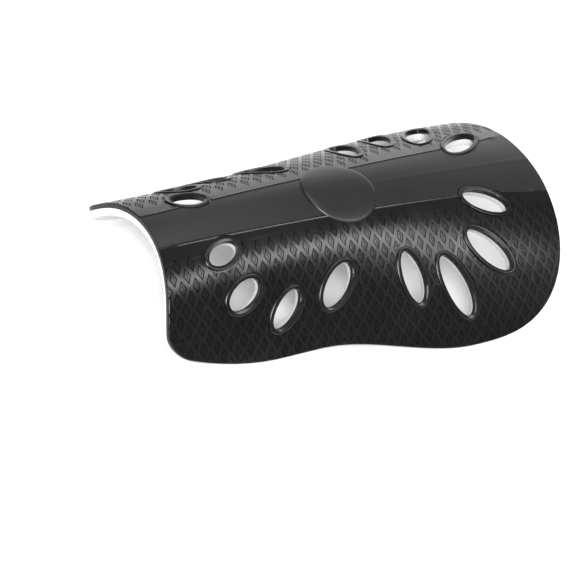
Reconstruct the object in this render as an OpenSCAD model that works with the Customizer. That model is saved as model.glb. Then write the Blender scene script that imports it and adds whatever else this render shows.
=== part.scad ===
// Slip-in shin guard: a moulded vented shell with a glued foam liner.
// The outer face is laid out flat first. s runs across the guard along its curved face,
// from the crease of the shin out to either side, and y runs along the leg, from the
// ankle end towards the knee. rest() then bends that flat layout into the real curves.

/* [Length and width, along the curved face] */
// Length along the shin crease
guard_len = 190; // [150:1:230]
// Half width at the ankle end
ankle_half = 49; // [40:0.5:60]
// Half width at the waist
waist_half = 62.5; // [50:0.5:75]
// Half width at the widest place, near the knee
knee_half = 76.5; // [62:0.5:90]
// Distance from the knee end back to the widest place
knee_round = 58; // [45:1:75]
// How far the ankle corners reach past the middle of the ankle edge
ankle_cut = 4.6; // [0:0.2:10]
// Radius of the ankle corners
corner_r = 8; // [3:0.5:14]

/* [Curves] */
// Radius of the crown at the ankle end
crown_r_ankle = 38.6; // [28:0.2:50]
// Radius of the crown at mid length
crown_r_mid = 44.2; // [34:0.2:60]
// Radius of the crown at the knee end
crown_r_knee = 78.4; // [50:0.2:95]
// Half width of the crown at the ankle end, where the side curves begin
crown_half_ankle = 30.5; // [24:0.5:36]
// Half width of the crown at the knee end
crown_half_knee = 18.5; // [14:0.5:26]
// Radius of the side that faces outwards on the leg
outer_side_r = 113; // [80:1:160]
// Radius of the side that faces inwards on the leg, at the ankle end
inner_r_ankle = 75.5; // [55:0.5:100]
// Radius of the side that faces inwards on the leg, at the knee end
inner_r_knee = 48; // [40:0.5:80]
// Height of the bow of the shin crease along its length
crease_bow = 3.4; // [0:0.2:8]

/* [Layers] */
// Thickness of the moulded shell
shell_t = 2; // [1.5:0.1:3]
// Thickness of the adhesive film
film_t = 0.2; // [0.1:0.05:0.4]
// Thickness of the foam liner
foam_t = 3; // [2:0.1:5]

/* [Centre band] */
// Half width of the smooth band at the ankle end
band_half_ankle = 8.3; // [6:0.1:11]
// Half width of the smooth band at the knee end
band_half_knee = 15.9; // [11:0.1:18]
// How much further the band widens on each side at the knee end's rounding
band_flare = 3.4; // [0:0.2:5]
// Width of the raised lines beside the band
line_w = 1.2; // [0.8:0.1:2]
// Height of the raised lines beside the band
line_h = 0.4; // [0.2:0.1:0.8]
// Radius of the round boss
boss_r = 16; // [10:0.5:18]
// Height of the round boss
boss_h = 1; // [0.6:0.1:2]
// Place of the boss, as a share of the length
boss_at = 0.45; // [0.35:0.005:0.55]

/* [Vents] */
// Width of the raised rim around each vent
rim_w = 1.8; // [1:0.1:2.2]
// Height of the raised rim around each vent
rim_h = 0.5; // [0.3:0.1:1]
// How much wider the liner's holes are than the shell's, all round
liner_gap = 0.3; // [0:0.1:1]

/* [Hidden] */

$fn = 20;

// Columns and rows of the faces that the layout is bent into
COLS = 22;
BODY_ROWS = 18;
TURN_ROWS = 3;
KNEE_ROWS = 7;
// Reach of the ankle edge's curve along the guard
fade = 55;
// Depth of all three layers
total_t = shell_t + film_t + foam_t;
// How far a cutter passes both faces
past = 2;
// How far the raised features are sunk in the shell, so that they join it
sunk = 0.6;

// One row per pair of vents: place on the outer side, place on the inner side, half length,
// half width, and the turn of the long axis from straight across. A place is a share of the
// half width and a share of the length. On the inner side the vents sit nearer to the band.
VENTS = [
    [[0.27, 0.128], [0.22, 0.120], 6.8, 4.0, -70],
    [[0.55, 0.156], [0.45, 0.140], 7.6, 4.9, -60],
    [[0.69, 0.248], [0.52, 0.225], 8.6, 4.3, -40],
    [[0.61, 0.373], [0.46, 0.350], 9.8, 5.2, -41],
    [[0.59, 0.557], [0.43, 0.580], 11.2, 4.8, 10],
    [[0.66, 0.661], [0.50, 0.695], 14.2, 5.3, 19],
    [[0.51, 0.766], [0.42, 0.790], 12.6, 5.5, 41],
    [[0.24, 0.803], [0.23, 0.852], 11.3, 4.7, 66],
];

function mix(a, b, t) = a + (b - a) * t;
function clamp01(t) = min(max(t, 0), 1);
function ease(t) = let (u = clamp01(t)) u * u * (3 - 2 * u);
function along(y) = y / guard_len;

// ---- the flat layout ----

// Half width of the outline at y, without its corners
function plain_half(y) = y > guard_len - knee_round
    ? knee_half * pow(max(0, 1 - pow((y - guard_len + knee_round) / knee_round, 2.8)), 0.47)
    : waist_half - (waist_half - ankle_half) * pow(1 - clamp01(along(y) / 0.24), 2)
        + (knee_half - waist_half) * ease((along(y) - 0.32) / 0.37);
// Half width with the ankle corners rounded
function half_width(y) = let (d = max(corner_r - y, 0))
    plain_half(y) - corner_r + sqrt(corner_r * corner_r - d * d);
// The ankle edge is an arch: its middle is cut back and its corners reach past it
function arch(s, y) = let (u = s / ankle_half, k = pow(1 - clamp01(y / fade), 2))
    -ankle_cut * k * u * u * (2 - u * u);

// ---- the bent surface ----

function crown_r(y) = let (t = along(y)) mix(crown_r_ankle, crown_r_knee, t)
    + (crown_r_mid - (crown_r_ankle + crown_r_knee) / 2) * 4 * t * (1 - t);
function crown_half(y) = mix(crown_half_ankle, crown_half_knee, along(y));
function side_r(s, y) = s > 0 ? outer_side_r : mix(inner_r_ankle, inner_r_knee, along(y));
// Angles that the face has turned through at the edge of the crown and at s
function crown_turn(s, y) = min(abs(s), crown_half(y)) / crown_r(y) * 180 / PI;
function full_turn(s, y) = crown_turn(s, y)
    + max(abs(s) - crown_half(y), 0) / side_r(s, y) * 180 / PI;
function face(s, y) = let (
    a = crown_turn(s, y), b = full_turn(s, y), rc = crown_r(y), rs = side_r(s, y), t = along(y))
    [sign(s) * (rc * sin(a) + rs * (sin(b) - sin(a))),
     y,
     -rc * (1 - cos(a)) - rs * (cos(a) - cos(b)) + crease_bow * 4 * t * (1 - t)];
function unit(v) = v / norm(v);
function outward(s, y) = unit(cross(face(s + 0.3, y) - face(s - 0.3, y),
                                    face(s, y + 0.3) - face(s, y - 0.3)));
// A point of the layout, raised h above the outer face
function raised(s, y, h) = face(s, y) + h * outward(s, y);

// ---- the resting pose: the sides' lowest places stand on the floor ----

waist_y = 0.2 * guard_len;
knee_y = guard_len - 1.1 * knee_round;
function foot(side, y) = raised(side * half_width(y), y, -total_t);
roll = atan(((foot(1, waist_y).z - foot(-1, waist_y).z) / (foot(1, waist_y).x - foot(-1, waist_y).x)
    + (foot(1, knee_y).z - foot(-1, knee_y).z) / (foot(1, knee_y).x - foot(-1, knee_y).x)) / 2);
pitch = -atan((foot(1, knee_y).z + foot(-1, knee_y).z - foot(1, waist_y).z - foot(-1, waist_y).z)
    / (2 * (knee_y - waist_y)));
function level(p) = let (
    x = p.x * cos(roll) + p.z * sin(roll), z = p.z * cos(roll) - p.x * sin(roll))
    [x, p.y * cos(pitch) - z * sin(pitch), p.y * sin(pitch) + z * cos(pitch)];

rows = concat(
    [for (i = [0:TURN_ROWS - 1]) corner_r * (1 - cos(90 * i / TURN_ROWS))],
    [for (i = [0:BODY_ROWS - 1]) mix(corner_r, guard_len - knee_round, i / BODY_ROWS)],
    [for (i = [0:KNEE_ROWS]) guard_len - knee_round * (1 - sin(90 * i / KNEE_ROWS))]);
last = len(rows) - 1;
function grid_s(i, j) = half_width(rows[j]) * sin(90 * (2 * i / COLS - 1)) * 0.35
    + half_width(rows[j]) * (2 * i / COLS - 1) * 0.65;
function grid_y(i, j) = rows[j] + arch(grid_s(i, j), rows[j]);
function grid(i, j, h) = level(raised(grid_s(i, j), grid_y(i, j), h));
rim_points = [for (h = [0, -total_t]) each concat(
    [for (j = [0:last]) each [grid(0, j, h), grid(COLS, j, h)]],
    [for (i = [0:COLS]) grid(i, 0, h)])];
low = [for (k = [0:2]) min([for (p = rim_points) p[k]])];
high = [for (k = [0:2]) max([for (p = rim_points) p[k]])];
shift = -[(low.x + high.x) / 2, (low.y + high.y) / 2, low.z];
function rest(s, y, h) = level(raised(s, y, h)) + shift;

// ---- solids that follow the face ----

// The whole layout, between the heights lo and hi
module layer(lo, hi) {
    n = COLS + 1;
    m = n * last;
    pole = 2 * m;
    points = concat(
        [for (h = [lo, hi]) each [for (j = [0:last - 1]) each
            [for (i = [0:COLS]) grid(i, j, h) + shift]]],
        [rest(0, guard_len, lo), rest(0, guard_len, hi)]);
    function quad(a, b, c, d) = [[a, b, c], [a, c, d]];
    faces = concat(
        [for (j = [0:last - 2]) each [for (i = [0:COLS - 1]) each let (k = j * n + i) concat(
            quad(k, k + 1, k + 1 + n, k + n),
            quad(m + k, m + k + n, m + k + 1 + n, m + k + 1))]],
        [for (i = [0:COLS - 1]) each let (k = (last - 1) * n + i)
            [[k, k + 1, pole], [m + k, pole + 1, m + k + 1]]],
        [for (i = [0:COLS - 1]) each quad(i, m + i, m + i + 1, i + 1)],
        [for (j = [0:last - 2]) each let (k = j * n) concat(
            quad(k, k + n, m + k + n, m + k),
            quad(k + COLS, m + k + COLS, m + k + COLS + n, k + COLS + n))],
        quad((last - 1) * n, pole, pole + 1, m + (last - 1) * n),
        quad(last * n - 1, m + last * n - 1, pole + 1, pole));
    polyhedron(points = points, faces = faces);
}

function place(v, side) = side > 0 ? v[0] : v[1];
function vent_along(v, side) = place(v, side)[1] * guard_len;
function vent_across(v, side) = place(v, side)[0] * half_width(vent_along(v, side));
// Points round a vent, grown by g, raised by h and turned by part of a step
function around(v, side, g, h, step = 0) = [for (k = [0:$fn - 1]) let (
    turn = 360 * (k + step) / $fn, a = (v[2] + g) * cos(turn), b = (v[3] + g) * sin(turn),
    s = vent_across(v, side) + a * cos(v[4]) - b * sin(v[4]),
    y = vent_along(v, side) + a * sin(v[4]) + b * cos(v[4]))
    rest(side * s, y, h)];

module vent_hole(v, side, g) {
    hull()
        polyhedron(points = concat(around(v, side, g, past), around(v, side, g, -total_t - past)),
                   faces = [[for (k = [0:2 * $fn - 1]) k]]);
}
module vent_holes(g) {
    for (v = VENTS, side = [1, -1])
        vent_hole(v, side, g);
}

// A closed band of four-sided rings: each ring is [low inner, high inner, high outer, low outer]
module ring_band(rings, closed) {
    n = len(rings);
    spans = closed ? n : n - 1;
    faces = concat(
        [for (k = [0:spans - 1], e = [0:3]) let (
            a = 4 * k, b = 4 * ((k + 1) % n), f = (e + 1) % 4) each
            [[a + e, b + e, b + f], [a + e, b + f, a + f]]],
        closed ? [] : [[0, 1, 2, 3], [4 * n - 1, 4 * n - 2, 4 * n - 3, 4 * n - 4]]);
    polyhedron(points = [for (r = rings) each r], faces = faces);
}

module vent_rim(v, side) {
    lists = [around(v, side, -sunk, -sunk, 0.5), around(v, side, -sunk, rim_h, 0.5),
             around(v, side, 0.6 * rim_w, rim_h, 0.5), around(v, side, rim_w, -sunk, 0.5)];
    turn = side > 0 ? [0, 1, 2, 3] : [3, 2, 1, 0];
    ring_band([for (k = [0:$fn - 1]) [for (e = turn) lists[e][k]]], true);
}

// The band's edge: it widens towards the knee, and flares where the knee end is rounded
function band_half(y) = let (t = along(y))
    mix(band_half_ankle, band_half_knee, t * (0.75 + 0.25 * t))
    + band_flare * pow(clamp01((y - guard_len + knee_round / 2) / (knee_round / 2)), 1.5);
function line_s(y, side, d) = side * (band_half(y) + d);
module band_line(side, y0, y1, steps) {
    turn = side > 0 ? [0, 1, 2, 3] : [3, 2, 1, 0];
    ring_band([for (k = [0:steps]) let (y = mix(y0, y1, k / steps), ring = [
        rest(line_s(y, side, -line_w / 2), y, -sunk),
        rest(line_s(y, side, -line_w / 4), y, line_h),
        rest(line_s(y, side, line_w / 4), y, line_h),
        rest(line_s(y, side, line_w / 2), y, -sunk)]) [for (e = turn) ring[e]]], false);
}

// A low round dome on the band, with a bevelled edge
BOSS_PROFILE = [[0.97, 0.3], [0.84, 0.62], [0.5, 0.9]];
module boss() {
    function ring(q, h) = [for (k = [0:$fn - 1]) let (turn = 360 * (k + 0.5) / $fn)
        rest(q * cos(turn), boss_at * guard_len + q * sin(turn), h)];
    points = concat(ring(boss_r * 1.02, -sunk),
        [for (p = BOSS_PROFILE) each ring(boss_r * p[0], boss_h * p[1])],
        [rest(0, boss_at * guard_len, boss_h), rest(0, boss_at * guard_len, -sunk)]);
    n = len(BOSS_PROFILE);
    top = (n + 1) * $fn;
    faces = concat(
        [for (r = [0:n - 1], k = [0:$fn - 1]) let (a = r * $fn + k, b = r * $fn + (k + 1) % $fn)
            each [[a, a + $fn, b + $fn], [a, b + $fn, b]]],
        [for (k = [0:$fn - 1]) [n * $fn + k, top, n * $fn + (k + 1) % $fn]],
        [for (k = [0:$fn - 1]) [k, (k + 1) % $fn, top + 1]]);
    polyhedron(points = points, faces = faces);
}

// ---- the pieces ----

module shell() {
    line_start = 3;
    line_end = guard_len - 6;
    color([0.09, 0.09, 0.1])
        difference() {
            union() {
                layer(-shell_t, 0);
                for (v = VENTS, side = [1, -1])
                    vent_rim(v, side);
                for (side = [1, -1])
                    band_line(side, line_start, line_end, 20);
                boss();
            }
            vent_holes(0);
        }
}

module adhesive_film() {
    color([0.86, 0.87, 0.8])
        difference() {
            layer(-shell_t - film_t, -shell_t);
            vent_holes(liner_gap);
        }
}

module foam_liner() {
    color([0.93, 0.93, 0.94])
        difference() {
            layer(-total_t, -shell_t - film_t);
            vent_holes(liner_gap);
        }
}

shell();
adhesive_film();
foam_liner();
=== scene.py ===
import math
import bmesh
import bpy
import numpy as np
from mathutils import Matrix, Vector


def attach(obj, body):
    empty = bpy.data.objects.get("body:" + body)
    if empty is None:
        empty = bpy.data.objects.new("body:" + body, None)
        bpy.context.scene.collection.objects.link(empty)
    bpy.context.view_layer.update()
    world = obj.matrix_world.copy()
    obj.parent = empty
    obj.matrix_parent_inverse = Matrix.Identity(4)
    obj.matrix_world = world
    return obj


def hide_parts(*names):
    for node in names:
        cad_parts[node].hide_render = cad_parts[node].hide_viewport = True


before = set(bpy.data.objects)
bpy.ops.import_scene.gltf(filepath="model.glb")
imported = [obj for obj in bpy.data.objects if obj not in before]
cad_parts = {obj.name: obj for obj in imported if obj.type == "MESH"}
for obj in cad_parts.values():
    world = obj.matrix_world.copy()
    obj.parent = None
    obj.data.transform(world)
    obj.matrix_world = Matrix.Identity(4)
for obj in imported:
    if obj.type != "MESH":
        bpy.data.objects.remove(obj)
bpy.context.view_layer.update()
print("frame loaded")

# ---- camera ----

camera = {
    "aim": (0.0055, -0.0220, -0.0003),  # point looked at, metres
    "azimuth": 42.76,  # degrees, from looking along +Y
    "elevation": 41.05,
    "roll": 24.02,
    "distance": 0.6034,
    "lens": 91.5,  # millimetres, on a sensor this wide
    "sensor": 36,
    "nearest": 0.02,
}


def addCamera():
    eye = bpy.data.objects.new("camera", bpy.data.cameras.new("camera"))
    bpy.context.scene.collection.objects.link(eye)
    turned = Matrix.Rotation(math.radians(camera["azimuth"]), 3, "Z")
    turned = turned @ Matrix.Rotation(math.radians(90 - camera["elevation"]), 3, "X")
    turned = turned @ Matrix.Rotation(math.radians(camera["roll"]), 3, "Z")
    back = turned @ Vector((0, 0, 1))
    place = Vector(camera["aim"]) + back * camera["distance"]
    eye.matrix_world = Matrix.Translation(place) @ turned.to_4x4()
    eye.data.lens = camera["lens"]
    eye.data.sensor_width = camera["sensor"]
    eye.data.clip_start = camera["nearest"]
    bpy.context.scene.camera = eye


addCamera()

# ---- the guard's own measures, in millimetres ----
# The guard is modelled flat, as its face would lie if it were rolled out: x runs across the face
# from the crease of the shin, y runs from the ankle end to the knee end, z is height over the face.
# bend() then wraps that layout onto the real curves and takes it to metres.

guard = {
    "length": 190.0,
    "ankleHalf": 49.0, "waistHalf": 62.5, "kneeHalf": 76.5,  # half widths along the face
    "waistAt": 0.24, "widenFrom": 0.32, "widenOver": 0.37,  # shares of the length
    "kneeRound": 58.0, "kneePowers": (2.8, 0.47),  # reach and fullness of the rounded knee end
    "ankleCut": 4.6, "cornerRadius": 8.0, "archReach": 55.0,
    "crownAnkle": 38.6, "crownMid": 44.2, "crownKnee": 78.4,  # crown radii
    "crownHalfAnkle": 30.5, "crownHalfKnee": 18.5,
    "outerRadius": 113.0, "innerRadiusAnkle": 75.5, "innerRadiusKnee": 48.0,
    "bow": 3.4,  # height of the crease's own bow along the guard
    "shell": 2.0, "film": 0.2, "foam": 3.0,
}
fullDepth = guard["shell"] + guard["film"] + guard["foam"]

band = {
    "halfAnkle": 8.3, "halfKnee": 15.9, "flare": 3.4,
    "face": 0.06,  # height of the smooth face between the raised lines
    "creaseHeight": 0.10, "creaseHalf": 0.9,
    "lineHalf": 0.6, "lineHeight": 0.34,
    "lineFoot": 0.1, "topOuter": 0.1, "topInner": 0.25,  # the line's outer side slopes
    "lineFrom": 3.0, "lineTo": 184.0, "lineFade": 5.0,
    "shares": (0.86, 0.7, 0.54, 0.4, 0.27, 0.15),  # places of the columns between line and crease
    "rows": 100, "before": 8.0, "beyond": 4.0, "depth": 0.9, "sink": 0.5,
}

# One row per pair of vents: place on the outer side, place on the inner side, half length,
# half width, turn of the long axis. Places are shares of the half width and of the length.
vents = [
    ((0.27, 0.128), (0.22, 0.120), 6.8, 4.0, -70),
    ((0.55, 0.156), (0.45, 0.140), 7.6, 4.9, -60),
    ((0.69, 0.248), (0.52, 0.225), 8.6, 4.3, -40),
    ((0.61, 0.373), (0.46, 0.350), 9.8, 5.2, -41),
    ((0.59, 0.557), (0.43, 0.580), 11.2, 4.8, 10),
    ((0.66, 0.661), (0.50, 0.695), 14.2, 5.3, 19),
    ((0.51, 0.766), (0.42, 0.790), 12.6, 5.5, 41),
    ((0.24, 0.803), (0.23, 0.852), 11.3, 4.7, 66),
]
ventSides = 56


def ease(t):
    t = np.clip(t, 0, 1)
    return t * t * (3 - 2 * t)


def mix(a, b, t):
    return a + (b - a) * t


def halfWidth(y):
    t = y / guard["length"]
    widening = ease((t - guard["widenFrom"]) / guard["widenOver"])
    narrowing = (1 - np.clip(t / guard["waistAt"], 0, 1)) ** 2
    body = guard["waistHalf"] + (guard["kneeHalf"] - guard["waistHalf"]) * widening
    body = body - (guard["waistHalf"] - guard["ankleHalf"]) * narrowing
    far = np.clip((y - guard["length"] + guard["kneeRound"]) / guard["kneeRound"], 0, 1)
    inner, outer = guard["kneePowers"]
    half = np.where(far > 0, guard["kneeHalf"] * (1 - far ** inner) ** outer, body)
    corner = guard["cornerRadius"]
    lack = np.clip(corner - y, 0, corner)
    return half - corner + np.sqrt(corner * corner - lack * lack)


def archShift(x, y):
    u = x / guard["ankleHalf"]
    return -guard["ankleCut"] * (1 - np.clip(y / guard["archReach"], 0, 1)) ** 2 * u * u * (2 - u * u)


def bandHalf(y):
    t = y / guard["length"]
    half = guard["kneeRound"] / 2
    flare = np.clip((y - guard["length"] + half) / half, 0, 1) ** 1.5
    return mix(band["halfAnkle"], band["halfKnee"], t * (0.75 + 0.25 * t)) + band["flare"] * flare


def onFace(x, y):
    t = y / guard["length"]
    bulge = guard["crownMid"] - (guard["crownAnkle"] + guard["crownKnee"]) / 2
    crown = mix(guard["crownAnkle"], guard["crownKnee"], t) + bulge * 4 * t * (1 - t)
    crownHalf = mix(guard["crownHalfAnkle"], guard["crownHalfKnee"], t)
    inner = mix(guard["innerRadiusAnkle"], guard["innerRadiusKnee"], t)
    side = np.where(x > 0, guard["outerRadius"], inner)
    a = np.minimum(np.abs(x), crownHalf) / crown
    b = a + np.maximum(np.abs(x) - crownHalf, 0) / side
    across = np.sign(x) * (crown * np.sin(a) + side * (np.sin(b) - np.sin(a)))
    up = guard["bow"] * 4 * t * (1 - t) - crown * (1 - np.cos(a)) - side * (np.cos(a) - np.cos(b))
    return np.stack([across, y + 0 * x, up], -1)


def raised(x, y, h):
    x, y, h = (np.asarray(v, float) for v in (x, y, h))
    reach = 0.3
    run = onFace(x + reach, y) - onFace(x - reach, y)
    rise = onFace(x, y + reach) - onFace(x, y - reach)
    out = np.cross(run, rise)
    out = out / np.linalg.norm(out, axis=-1, keepdims=True)
    return onFace(x, y) + h[..., None] * out


def foot(side, y):
    return raised(side * halfWidth(np.float64(y)), y, -fullDepth)


def restAngles():
    # roll and pitch that put the sides' lowest places, at the waist and by the knee, on the floor
    waist = 0.2 * guard["length"]
    knee = guard["length"] - 1.1 * guard["kneeRound"]
    slopes = []
    for y in (waist, knee):
        span = foot(1, y) - foot(-1, y)
        slopes.append(span[2] / span[0])
    rise = (foot(1, knee)[2] + foot(-1, knee)[2] - foot(1, waist)[2] - foot(-1, waist)[2]) / 2
    return math.atan(sum(slopes) / 2), -math.atan(rise / (knee - waist))


rollAngle, pitchAngle = restAngles()


def level(p):
    x = p[..., 0] * math.cos(rollAngle) + p[..., 2] * math.sin(rollAngle)
    z = p[..., 2] * math.cos(rollAngle) - p[..., 0] * math.sin(rollAngle)
    y = p[..., 1] * math.cos(pitchAngle) - z * math.sin(pitchAngle)
    z = p[..., 1] * math.sin(pitchAngle) + z * math.cos(pitchAngle)
    return np.stack([x, y, z], -1)


def outlinePoints():
    # once round the flat outline, counter-clockwise from the middle of the ankle edge
    edge = halfWidth(np.zeros(1))[0]
    ankle = edge * np.linspace(0, 1, 16)[:-1]
    corner = guard["cornerRadius"] * (1 - np.cos(np.linspace(0, math.pi / 2, 8)))
    body = np.linspace(guard["cornerRadius"], guard["length"] - guard["kneeRound"], 44)[1:]
    knee = guard["length"] - guard["kneeRound"] * (1 - np.sin(np.linspace(0, math.pi / 2, 40)[1:]))
    rows = np.concatenate([corner, body, knee])
    x = np.concatenate([ankle, halfWidth(rows)])
    y = np.concatenate([0 * ankle, rows])
    right = np.stack([x, y + archShift(x, y)], -1)
    left = right[1:-1][::-1] * (-1, 1)
    return np.concatenate([right, left])


def restShift():
    edge = outlinePoints()
    ends = [level(raised(edge[:, 0], edge[:, 1], np.full(len(edge), h))) for h in (0.0, -fullDepth)]
    ends = np.concatenate(ends)
    low, high = ends.min(0), ends.max(0)
    return -np.array([(low[0] + high[0]) / 2, (low[1] + high[1]) / 2, low[2]])


shift = restShift()


def bend(piece):
    mesh = piece.data
    flat = np.empty(len(mesh.vertices) * 3)
    mesh.vertices.foreach_get("co", flat)
    flat = flat.reshape(-1, 3)
    bent = (level(raised(flat[:, 0], flat[:, 1], flat[:, 2])) + shift) / 1000
    mesh.vertices.foreach_set("co", bent.ravel())
    mesh.update()


# ---- working by hand: selection, edit mode, cutting ----


def isolate(piece):
    bpy.ops.object.select_all(action="DESELECT")
    piece.select_set(True)
    bpy.context.view_layer.objects.active = piece


def openEdit(piece):
    isolate(piece)
    bpy.ops.object.mode_set(mode="EDIT")
    bpy.ops.mesh.select_mode(type="FACE")


def closeEdit():
    bpy.ops.object.mode_set(mode="OBJECT")


def pickFaces(piece, test):
    shape = bmesh.from_edit_mesh(piece.data)
    for face in shape.faces:
        face.select_set(False)
    for face in shape.faces:
        if test(face.calc_center_median(), face.normal):
            face.select_set(True)
    bmesh.update_edit_mesh(piece.data)


def stepIn(steps, each=False):
    for thickness, depth in steps:
        bpy.ops.mesh.inset(thickness=thickness, depth=depth, use_individual=each)


def faceOutwards(piece):
    openEdit(piece)
    bpy.ops.mesh.select_all(action="SELECT")
    bpy.ops.mesh.normals_make_consistent(inside=False)
    closeEdit()


def applyModifier(piece, kind, **settings):
    isolate(piece)
    change = piece.modifiers.new(kind.lower(), kind)
    for name, value in settings.items():
        setattr(change, name, value)
    bpy.ops.object.modifier_apply(modifier=change.name)


def carve(piece, tool, operation):
    applyModifier(piece, "BOOLEAN", operation=operation, solver="MANIFOLD", object=tool)
    bpy.data.objects.remove(tool)


def joinAll(parts, name):
    bpy.ops.object.select_all(action="DESELECT")
    for part in parts:
        part.select_set(True)
    bpy.context.view_layer.objects.active = parts[0]
    bpy.ops.object.join()
    parts[0].name = name
    return parts[0]


def growUp(piece, height, steps=()):
    # a flat disc becomes a closed block, then its top face is stepped in
    openEdit(piece)
    bpy.ops.mesh.select_all(action="SELECT")
    bpy.ops.mesh.extrude_region_move(TRANSFORM_OT_translate={"value": (0, 0, height)})
    stepIn(steps)
    closeEdit()
    faceOutwards(piece)


def ventSpot(row, side):
    across, along = row[0] if side > 0 else row[1]
    y = along * guard["length"]
    return side * across * float(halfWidth(np.float64(y))), y


def ventDiscs(name, grow, low, height, steps=()):
    discs = []
    for row in vents:
        for side in (1, -1):
            x, y = ventSpot(row, side)
            turn = row[4] if side > 0 else 180 - row[4]
            bpy.ops.mesh.primitive_circle_add(
                vertices=ventSides, radius=1, fill_type="NGON",
                location=(x, y, low), rotation=(0, 0, math.radians(turn)))
            disc = bpy.context.object
            disc.scale = (row[2] + grow, row[3] + grow, 1)
            bpy.ops.object.transform_apply(location=True, rotation=True, scale=True)
            growUp(disc, height, steps)
            discs.append(disc)
    return joinAll(discs, name)


def outlineBlock(name, low, height, steps, under=()):
    points = outlinePoints()
    bpy.ops.mesh.primitive_circle_add(vertices=len(points), radius=1, fill_type="NGON")
    block = bpy.context.object
    block.name = name
    for vertex, point in zip(block.data.vertices, points):  # the circle takes the outline's shape
        vertex.co = (point[0], point[1], low)
    growUp(block, height, steps)
    if under:
        openEdit(block)
        pickFaces(block, lambda centre, normal: normal.z < -0.9)
        stepIn(under)
        closeEdit()
    return block


def inside(x, y, margin):
    # whether a place of the flat layout lies in the outline, grown by the margin
    reach = min(max(y - margin, guard["cornerRadius"]), guard["length"] - 0.5)
    near = abs(x) < float(halfWidth(np.float64(reach))) + margin
    return near and -margin - guard["ankleCut"] < y < guard["length"] + margin


# ---- shell ----

relief = {
    "across": 4.22, "along": 2.93,  # half diagonals of one lattice cell
    "cells": 58,  # cells along a side of the turned grid
    "spare": 8.0,  # how far the sheet reaches past the outline before it is cut
    "clear": 4.6,  # nearest that a diamond's centre comes to the band
    "steps": ((0.82, 0.0), (0.24, -0.40), (0.22, 0.34), (0.34, 0.0), (0.22, -0.28)),
    "slit": 0.4,  # share of the cell within which the slit lies
    "diamondShape": (0.85, 1.16), "slitShape": (0.45, 1.25),  # scale along and across the guard
    "nearBand": 0.7, "fade": 9.0,  # share of the depth beside the band, and how far it takes to grow
}
rim = {
    "reach": 1.9, "base": -0.8, "lift": 1.05,
    "steps": ((0.24, 0.18), (0.40, 0.06), (0.50, -0.10), (0.70, -0.34)),  # lip, then inner bevel
    "moat": 0.6, "moatDepth": 0.3,
}
mouldedEdge = {
    "low": -3.0, "height": 2.55,
    "steps": ((0.08, 0.18), (0.14, 0.14), (0.2, 0.1), (0.02, 2.0)),
}


def latticeSheet():
    count = relief["cells"]
    middle = guard["length"] / 2
    bpy.ops.mesh.primitive_grid_add(
        x_subdivisions=count, y_subdivisions=count, size=count, rotation=(0, 0, math.radians(45)))
    sheet = bpy.context.object
    sheet.name = "shell_detail"
    bpy.ops.object.transform_apply(location=True, rotation=True, scale=True)
    sheet.scale = (relief["across"] * math.sqrt(2), relief["along"] * math.sqrt(2), 1)
    sheet.location = (0, middle, 0)
    bpy.ops.object.transform_apply(location=True, rotation=True, scale=True)
    openEdit(sheet)
    pickFaces(sheet, lambda centre, normal: not inside(centre.x, centre.y, relief["spare"]))
    bpy.ops.mesh.delete(type="FACE")
    closeEdit()
    applyModifier(sheet, "SOLIDIFY", thickness=guard["shell"], offset=-1)
    openEdit(sheet)
    pickFaces(sheet, lambda centre, normal: normal.z > 0.9 and centre.z > -0.1
              and abs(centre.x) > float(bandHalf(np.float64(centre.y))) + relief["clear"])
    stepIn(relief["steps"], each=True)
    closeEdit()
    shapeDiamonds(sheet, middle)
    return sheet


def shapeDiamonds(sheet, middle):
    # slims each diamond within its cell, its slit most of all, and makes the relief shallower by
    # the band; the lattice's own corners stay where they are
    for vertex in sheet.data.vertices:
        x, y, z = vertex.co
        if z < -1:
            continue
        u = (x / relief["across"] + (y - middle) / relief["along"]) / 2
        v = ((y - middle) / relief["along"] - x / relief["across"]) / 2
        if abs(u - round(u)) < 0.01 and abs(v - round(v)) < 0.01:
            continue
        i, j = math.floor(u), math.floor(v)
        cellX = relief["across"] * (i - j)
        cellY = middle + relief["along"] * (i + j + 1)
        radius = abs(x - cellX) / relief["across"] + abs(y - cellY) / relief["along"]
        slim, stretch = relief["diamondShape"] if radius > relief["slit"] else relief["slitShape"]
        clear = abs(cellX) - float(bandHalf(np.float64(cellY)))
        depth = relief["nearBand"] + (1 - relief["nearBand"]) * float(ease(clear / relief["fade"]))
        vertex.co = (cellX + (x - cellX) * stretch, cellY + (y - cellY) * slim, z * depth)


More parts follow.
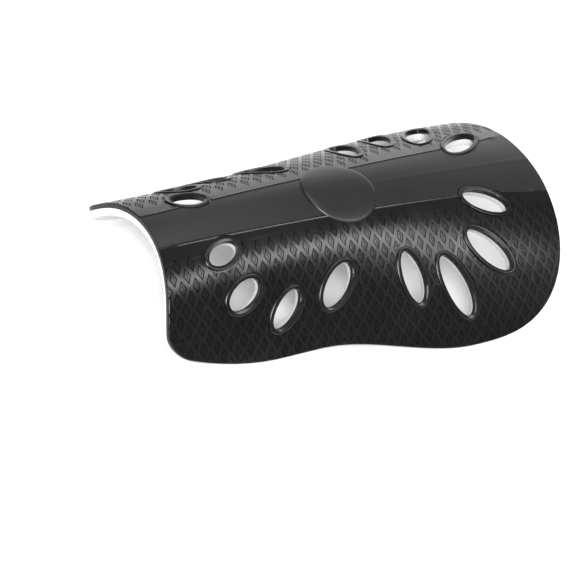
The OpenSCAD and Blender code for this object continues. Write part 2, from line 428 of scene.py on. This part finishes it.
def bandStrip():
    # columns across: the raised line, then the band's face up to the crease, then mirrored
    line, shares = band["lineHalf"], band["shares"]
    edge = ((line, -band["sink"]), (line, band["lineFoot"]), (band["topOuter"], band["lineHeight"]),
            (-band["topInner"], band["lineHeight"]), (-line, band["face"]))
    columns = 2 * (len(edge) + len(shares) + 1) + 1
    start, stop = -band["before"], guard["length"] + band["beyond"]
    bpy.ops.mesh.primitive_grid_add(x_subdivisions=columns - 1, y_subdivisions=band["rows"], size=1)
    strip = bpy.context.object
    strip.name = "band_strip"
    for vertex in strip.data.vertices:
        column = round((vertex.co.x + 0.5) * (columns - 1))
        y = mix(start, stop, vertex.co.y + 0.5)
        half = float(bandHalf(np.float64(y)))
        mirrored = column > columns // 2
        step = columns - 1 - column if mirrored else column
        height = band["face"]
        if step < len(edge):
            x = half + edge[step][0]
            fade = ease((y - band["lineFrom"]) / band["lineFade"])
            fade = fade * ease((band["lineTo"] - y) / band["lineFade"])
            height = edge[step][1]
            if height > band["face"]:
                height = band["face"] + (height - band["face"]) * float(fade)
        elif step < len(edge) + len(shares):
            x = (half - line) * shares[step - len(edge)]
        elif step == len(edge) + len(shares):
            x = band["creaseHalf"]
        else:
            x = 0.0
            height = band["face"] + band["creaseHeight"]
        vertex.co = (x if mirrored else -x, y, height)
    applyModifier(strip, "SOLIDIFY", thickness=band["depth"], offset=-1)
    faceOutwards(strip)
    return strip


boss = {
    "radius": 16.0, "place": 0.45,  # place along the guard, as a share of its length
    "foot": -0.9, "wall": 1.25, "sides": 96,
    "steps": ((0.22, 0.24), (0.4, 0.16), (0.9, 0.1), (2.4, 0.07), (3.0, 0.04), (3.2, 0.02), (3.0, 0.01)),
}


def bossDome():
    bpy.ops.mesh.primitive_circle_add(
        vertices=boss["sides"], radius=boss["radius"], fill_type="NGON",
        location=(0, boss["place"] * guard["length"], boss["foot"]))
    dome = bpy.context.object
    dome.name = "boss"
    bpy.ops.object.transform_apply(location=True, rotation=True, scale=True)
    growUp(dome, boss["wall"], boss["steps"])
    return dome


cutPast = 2.0  # how far a cutter stands past a face


def makeShell():
    shell = latticeSheet()
    print("lattice sheet", len(shell.data.polygons))
    carve(shell, bandStrip(), "UNION")
    carve(shell, bossDome(), "UNION")
    print("band and boss", len(shell.data.polygons))
    carve(shell, ventDiscs("moats", rim["reach"] + rim["moat"], -rim["moatDepth"], cutPast), "DIFFERENCE")
    carve(shell, ventDiscs("rims", rim["reach"], rim["base"], rim["lift"], rim["steps"]), "UNION")
    outline = outlineBlock("outline", mouldedEdge["low"], mouldedEdge["height"], mouldedEdge["steps"])
    carve(shell, outline, "INTERSECT")
    carve(shell, ventDiscs("vent_cuts", 0, -2 * cutPast, 4 * cutPast), "DIFFERENCE")
    print("shell cut", len(shell.data.polygons))
    return shell


def dressShell(shell):
    # the satin band and boss take the second material
    centre = boss["place"] * guard["length"]
    for face in shell.data.polygons:
        x, y, z = face.center
        onBand = abs(x) < float(bandHalf(np.float64(y))) - band["lineHalf"]
        onBoss = math.hypot(x, y - centre) < boss["radius"]
        face.material_index = 1 if z > -1 and (onBand or onBoss) else 0


# ---- foam liner and the film that holds it ----

layerSheet = {"spare": 7.0, "sides": 8.0, "ends": 12.0}  # reach past the outline before the cut
filmLayer = {
    "top": -guard["shell"], "depth": guard["film"], "spacing": 3.0,
    "edge": ((0.02, 1.0),), "under": ((0.02, 1.0),),  # square edges
    "ventGrow": 0.35, "ventHeight": 2.2, "ventSteps": (),
}
foamLayer = {
    "top": -guard["shell"] - guard["film"], "depth": guard["foam"], "spacing": 2.4,
    "edge": ((0.1, 0.2), (0.02, 2.0)),  # rounded edges, most of all on the leg's side
    "under": ((0.08, 0.25), (0.18, 0.25), (0.3, 0.2), (0.4, 0.12), (0.05, 2.0)),
    "ventGrow": 0.97, "ventHeight": 1.0,  # the holes narrow in steps from the leg's side
    "ventSteps": ((0.3, 0.1), (0.2, 0.2), (0.15, 0.3), (0.02, 6.0)),
}


def makeLayer(name, layerKind):
    top, depth = layerKind["top"], layerKind["depth"]
    across = 2 * (guard["kneeHalf"] + layerSheet["sides"])
    along = guard["length"] + 2 * layerSheet["ends"]
    bpy.ops.mesh.primitive_grid_add(
        x_subdivisions=round(across / layerKind["spacing"]),
        y_subdivisions=round(along / layerKind["spacing"]),
        size=1, location=(0, guard["length"] / 2, 0))
    layer = bpy.context.object
    layer.name = name
    layer.scale = (across, along, 1)
    layer.location.z = top
    bpy.ops.object.transform_apply(location=True, rotation=True, scale=True)
    openEdit(layer)
    pickFaces(layer, lambda centre, normal: not inside(centre.x, centre.y, layerSheet["spare"]))
    bpy.ops.mesh.delete(type="FACE")
    closeEdit()
    applyModifier(layer, "SOLIDIFY", thickness=depth, offset=-1)
    low = top - depth
    under = layerKind["under"]
    rounding = sum(step[1] for step in under[:-1])
    outline = outlineBlock(
        name + "_outline", low + rounding, depth - rounding, layerKind["edge"], under)
    carve(layer, outline, "INTERSECT")
    holes = ventDiscs(
        name + "_holes", layerKind["ventGrow"], low - 1.0, layerKind["ventHeight"], layerKind["ventSteps"])
    carve(layer, holes, "DIFFERENCE")
    print(name, len(layer.data.polygons))
    return layer


# ---- materials ----


def socket(group, name, direction, value=None):
    made = group.interface.new_socket(name=name, in_out=direction, socket_type="NodeSocketFloat")
    if value is not None:
        made.default_value = value
    return made


def mouldGrain():
    # fine grain of a moulded or foamed face: a height, and a slow change of tone
    group = bpy.data.node_groups.new("mouldGrain", "ShaderNodeTree")
    socket(group, "Grain Scale", "INPUT", value=4000)
    socket(group, "Tone Scale", "INPUT", value=60)
    socket(group, "Height", "OUTPUT")
    socket(group, "Tone", "OUTPUT")
    nodes, links = group.nodes, group.links
    into = nodes.new("NodeGroupInput")
    out = nodes.new("NodeGroupOutput")
    place = nodes.new("ShaderNodeTexCoord")
    grain = nodes.new("ShaderNodeTexNoise")
    grain.inputs["Detail"].default_value = 3
    tone = nodes.new("ShaderNodeTexNoise")
    tone.inputs["Detail"].default_value = 4
    for noise, scale in ((grain, "Grain Scale"), (tone, "Tone Scale")):
        links.new(place.outputs["Object"], noise.inputs["Vector"])
        links.new(into.outputs[scale], noise.inputs["Scale"])
    links.new(grain.outputs["Fac"], out.inputs["Height"])
    links.new(tone.outputs["Fac"], out.inputs["Tone"])
    return group


scuffs = {
    "directions": (((0.2, 0.1, 0.5), (1, 22, 1)), ((0.1, 0.4, -0.9), (16, 1, 1))),  # turn, stretch
    "from": 0.66, "to": 0.72,  # the noise that shows as a scuff
}


def handlingMarks():
    # thin hairline scuffs in two directions, as a mask
    group = bpy.data.node_groups.new("handlingMarks", "ShaderNodeTree")
    socket(group, "Scale", "INPUT", value=90)
    socket(group, "Amount", "INPUT", value=0.5)
    socket(group, "Mask", "OUTPUT")
    nodes, links = group.nodes, group.links
    into = nodes.new("NodeGroupInput")
    out = nodes.new("NodeGroupOutput")
    place = nodes.new("ShaderNodeTexCoord")
    masks = []
    for turn, stretch in scuffs["directions"]:
        turned = nodes.new("ShaderNodeMapping")
        turned.inputs["Rotation"].default_value = turn
        turned.inputs["Scale"].default_value = stretch
        noise = nodes.new("ShaderNodeTexNoise")
        noise.inputs["Detail"].default_value = 2
        cut = nodes.new("ShaderNodeMapRange")
        cut.inputs["From Min"].default_value = scuffs["from"]
        cut.inputs["From Max"].default_value = scuffs["to"]
        links.new(place.outputs["Object"], turned.inputs["Vector"])
        links.new(turned.outputs["Vector"], noise.inputs["Vector"])
        links.new(into.outputs["Scale"], noise.inputs["Scale"])
        links.new(noise.outputs["Fac"], cut.inputs["Value"])
        masks.append(cut)
    both = nodes.new("ShaderNodeMath")
    both.operation = "MAXIMUM"
    links.new(masks[0].outputs["Result"], both.inputs[0])
    links.new(masks[1].outputs["Result"], both.inputs[1])
    scaled = nodes.new("ShaderNodeMath")
    scaled.operation = "MULTIPLY"
    links.new(both.outputs["Value"], scaled.inputs[0])
    links.new(into.outputs["Amount"], scaled.inputs[1])
    links.new(scaled.outputs["Value"], out.inputs["Mask"])
    return group


grainGroup = mouldGrain()
marksGroup = handlingMarks()


def finish(name, look):
    # one material from a look: two colours, a span of roughness, grain and scuffs
    material = bpy.data.materials.new(name)
    material.use_nodes = True
    nodes, links = material.node_tree.nodes, material.node_tree.links
    shader = nodes["Principled BSDF"]
    grain = nodes.new("ShaderNodeGroup")
    grain.node_tree = grainGroup
    grain.inputs["Grain Scale"].default_value = look["grainScale"]
    grain.inputs["Tone Scale"].default_value = look["toneScale"]
    marks = nodes.new("ShaderNodeGroup")
    marks.node_tree = marksGroup
    marks.inputs["Scale"].default_value = look["markScale"]
    marks.inputs["Amount"].default_value = look["marks"]
    colour = nodes.new("ShaderNodeMix")
    colour.data_type = "RGBA"
    colour.inputs["A"].default_value = (*look["dark"], 1)
    colour.inputs["B"].default_value = (*look["light"], 1)
    links.new(grain.outputs["Tone"], colour.inputs["Factor"])
    links.new(colour.outputs["Result"], shader.inputs["Base Color"])
    rough = nodes.new("ShaderNodeMapRange")
    rough.inputs["From Min"].default_value = 0.3
    rough.inputs["From Max"].default_value = 0.7
    rough.inputs["To Min"].default_value = look["rough"][0]
    rough.inputs["To Max"].default_value = look["rough"][1]
    links.new(grain.outputs["Tone"], rough.inputs["Value"])
    scuffed = nodes.new("ShaderNodeMath")
    scuffed.operation = "ADD"
    scuffed.use_clamp = True
    links.new(rough.outputs["Result"], scuffed.inputs[0])
    links.new(marks.outputs["Mask"], scuffed.inputs[1])
    links.new(scuffed.outputs["Value"], shader.inputs["Roughness"])
    bump = nodes.new("ShaderNodeBump")
    bump.inputs["Strength"].default_value = look["bump"]
    bump.inputs["Distance"].default_value = look["bumpDepth"]
    links.new(grain.outputs["Height"], bump.inputs["Height"])
    links.new(bump.outputs["Normal"], shader.inputs["Normal"])
    shader.inputs["Specular IOR Level"].default_value = look["specular"]
    return material


looks = {
    "reliefPlastic": {
        "dark": (0.004, 0.004, 0.0043), "light": (0.007, 0.007, 0.0073), "rough": (0.20, 0.28),
        "grainScale": 2600, "toneScale": 45, "markScale": 60, "marks": 0.10,
        "bump": 0.12, "bumpDepth": 0.00005, "specular": 0.32,
    },
    "satinPlastic": {
        "dark": (0.008, 0.008, 0.0084), "light": (0.013, 0.013, 0.0134), "rough": (0.38, 0.46),
        "grainScale": 3200, "toneScale": 30, "markScale": 50, "marks": 0.08,
        "bump": 0.16, "bumpDepth": 0.00005, "specular": 0.5,
    },
    "linerFoam": {
        "dark": (0.56, 0.56, 0.565), "light": (0.68, 0.68, 0.685), "rough": (0.82, 0.95),
        "grainScale": 1500, "toneScale": 120, "markScale": 40, "marks": 0.05,
        "bump": 0.5, "bumpDepth": 0.0002, "specular": 0.25,
    },
    "adhesiveFilm": {
        "dark": (0.70, 0.69, 0.62), "light": (0.80, 0.79, 0.72), "rough": (0.30, 0.45),
        "grainScale": 900, "toneScale": 80, "markScale": 40, "marks": 0.05,
        "bump": 0.1, "bumpDepth": 0.00005, "specular": 0.5,
    },
}


def setFinish(piece, *names):
    piece.data.materials.clear()
    for name in names:
        piece.data.materials.append(finish(name, looks[name]))


def settle(piece, angle):
    bend(piece)
    isolate(piece)
    bpy.ops.object.shade_smooth_by_angle(angle=math.radians(angle))


# ---- build the pieces ----

shell = makeShell()
setFinish(shell, "reliefPlastic", "satinPlastic")
dressShell(shell)
settle(shell, 32)
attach(shell, "root")
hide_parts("shell")
print("shell done")

film = makeLayer("film_detail", filmLayer)
setFinish(film, "adhesiveFilm")
settle(film, 40)
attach(film, "root")
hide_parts("adhesive_film")
print("film done")

foam = makeLayer("liner_detail", foamLayer)
setFinish(foam, "linerFoam")
settle(foam, 40)
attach(foam, "root")
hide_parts("foam_liner")
print("liner done")

# ---- floor, light ----

stage = {"floor": 14.0, "tint": (0.90, 0.90, 0.90), "world": 0.24}


def addFloor():
    bpy.ops.mesh.primitive_plane_add(size=stage["floor"])
    floor = bpy.context.object
    floor.name = "floor"
    material = bpy.data.materials.new("floorPaint")
    material.use_nodes = True
    shader = material.node_tree.nodes["Principled BSDF"]
    shader.inputs["Base Color"].default_value = (*stage["tint"], 1)
    shader.inputs["Roughness"].default_value = 0.7
    floor.data.materials.append(material)


lamps = {
    "key": {"at": (0.69, 0.58, 1.20), "size": (0.75, 0.24), "power": 8, "aim": (0, 0, 0.02)},
    "front": {"at": (0.87, -0.94, 1.12), "size": (0.7, 0.7), "power": 42, "aim": (0, 0, 0.02)},
    "back": {"at": (-1.25, 0.95, 0.32), "size": (1.8, 0.6), "power": 7, "aim": (0, 0, 0.02)},
    "top": {"at": (-0.5, -0.2, 1.9), "size": (1.4, 1.0), "power": 14, "aim": (0, 0, 0.02)},
}


def addLamps():
    for name, lamp in lamps.items():
        light = bpy.data.lights.new(name, "AREA")
        light.shape = "RECTANGLE"
        light.size, light.size_y = lamp["size"]
        light.energy = lamp["power"]
        holder = bpy.data.objects.new(name, light)
        bpy.context.scene.collection.objects.link(holder)
        at = Vector(lamp["at"])
        turn = (Vector(lamp["aim"]) - at).to_track_quat("-Z", "Y")
        holder.matrix_world = Matrix.Translation(at) @ turn.to_matrix().to_4x4()
    world = bpy.data.worlds.new("studio")
    world.use_nodes = True
    world.node_tree.nodes["Background"].inputs["Color"].default_value = (1, 1, 1, 1)
    world.node_tree.nodes["Background"].inputs["Strength"].default_value = stage["world"]
    bpy.context.scene.world = world


addFloor()
addLamps()
bpy.context.scene.view_settings.view_transform = "Standard"
print("floor and light done")
